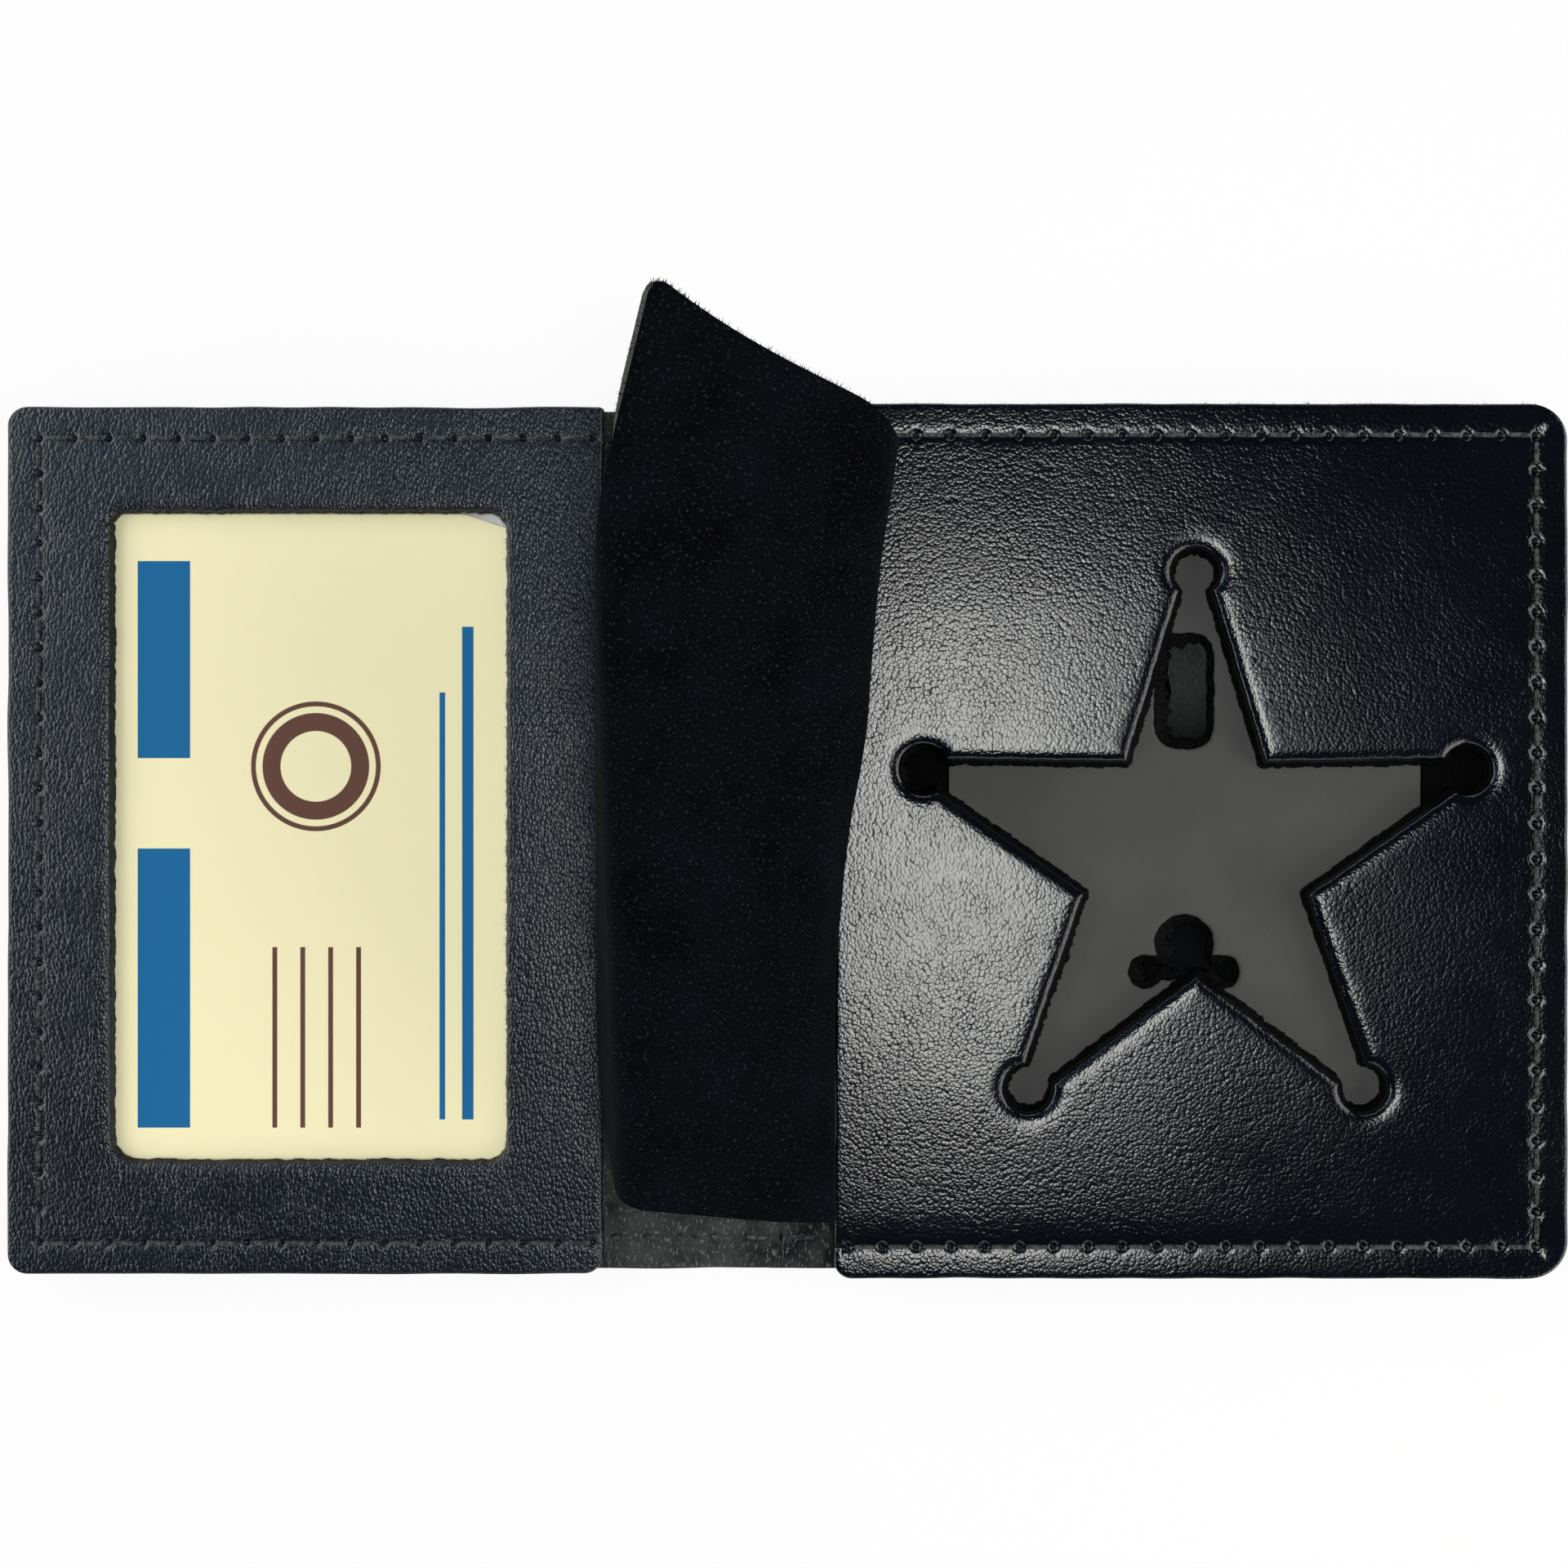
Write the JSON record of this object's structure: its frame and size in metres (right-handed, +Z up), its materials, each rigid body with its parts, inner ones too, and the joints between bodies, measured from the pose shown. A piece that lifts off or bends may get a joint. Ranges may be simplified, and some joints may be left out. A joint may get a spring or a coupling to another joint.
{
  "type": "badge wallet",
  "caption": "Open book-style leather badge wallet with a recessed star badge panel, a windowed card pocket and a hinged protective flap.",
  "frame": {"origin": "under the middle of the open wallet, on the face of the shell that lies on the table", "axes": "+X from the card side to the badge side, +Y up the panels along the spine, +Z up, out of the open wallet"},
  "size_m": [0.188, 0.1063, 0.0464],
  "materials": {
    "shell_leather": "satin, fine pebble grain",
    "panel_leather": "satin, fine pebble grain",
    "filler_leather": "matte suede",
    "flap_suede": "matte suede",
    "grey_board": "smooth matte",
    "thread": "waxed thread",
    "white_sheet": "smooth matte",
    "clear_film": "clear gloss",
    "card_plastic": "satin"
  },
  "bodies": {
    "badge_side": {"badge_shell": "shell_leather", "badge_spacer": "filler_leather", "badge_board": "grey_board", "badge_core": "filler_leather", "badge_face": "panel_leather", "badge_stitching": "thread", "flap_tab": "flap_suede"},
    "spine": {"spine_shell": "shell_leather", "spine_stitching": "thread"},
    "card_side": {"card_shell": "shell_leather", "pocket_backing": "white_sheet", "pocket_welt": "filler_leather", "window_film": "clear_film", "window_frame": "panel_leather", "card_side_stitching": "thread"},
    "id_card": {"id_card": "card_plastic"},
    "flap_base": {"flap_base": "flap_suede"},
    "flap_middle": {"flap_middle": "flap_suede"},
    "flap_tip": {"flap_tip": "flap_suede"}
  },
  "joints": [
    {"name": "spine_fold", "type": "hinge", "parent": "badge_side", "child": "spine", "pos_m": [0.0046, 0, 0.0013], "axis": [0, 1, 0], "range_deg": [0, 90]},
    {"name": "card_side_fold", "type": "hinge", "parent": "spine", "child": "card_side", "pos_m": [-0.0054, 0, 0.0013], "axis": [0, 1, 0], "range_deg": [0, 90]},
    {"name": "flap_seam", "type": "hinge", "parent": "badge_side", "child": "flap_base", "pos_m": [0.0053, 0, 0.00665], "axis": [0, 1, 0], "range_deg": [0, 70]},
    {"name": "flap_crease", "type": "hinge", "parent": "flap_base", "child": "flap_middle", "pos_m": [0.00961, 0.00051, 0.01849], "axis": [0.0713, 0.978, 0.196], "range_deg": [0, 78]},
    {"name": "flap_tip_crease", "type": "hinge", "parent": "flap_middle", "child": "flap_tip", "pos_m": [-0.01752, -0.00199, 0.035], "axis": [-0.0047, 0.9702, 0.2421], "range_deg": [0, 110]},
    {"name": "card_slide", "type": "slide", "parent": "card_side", "child": "id_card", "axis": [1, 0, 0], "range_m": [0, 0.025]}
  ],
  "couplings": [
    {"joint": "card_side_fold", "follows": "spine_fold", "ratio": 1},
    {"joint": "flap_seam", "follows": "spine_fold", "ratio": 0.77777},
    {"joint": "flap_crease", "follows": "spine_fold", "ratio": 0.86666},
    {"joint": "flap_tip_crease", "follows": "spine_fold", "ratio": 1.2222}
  ]
}
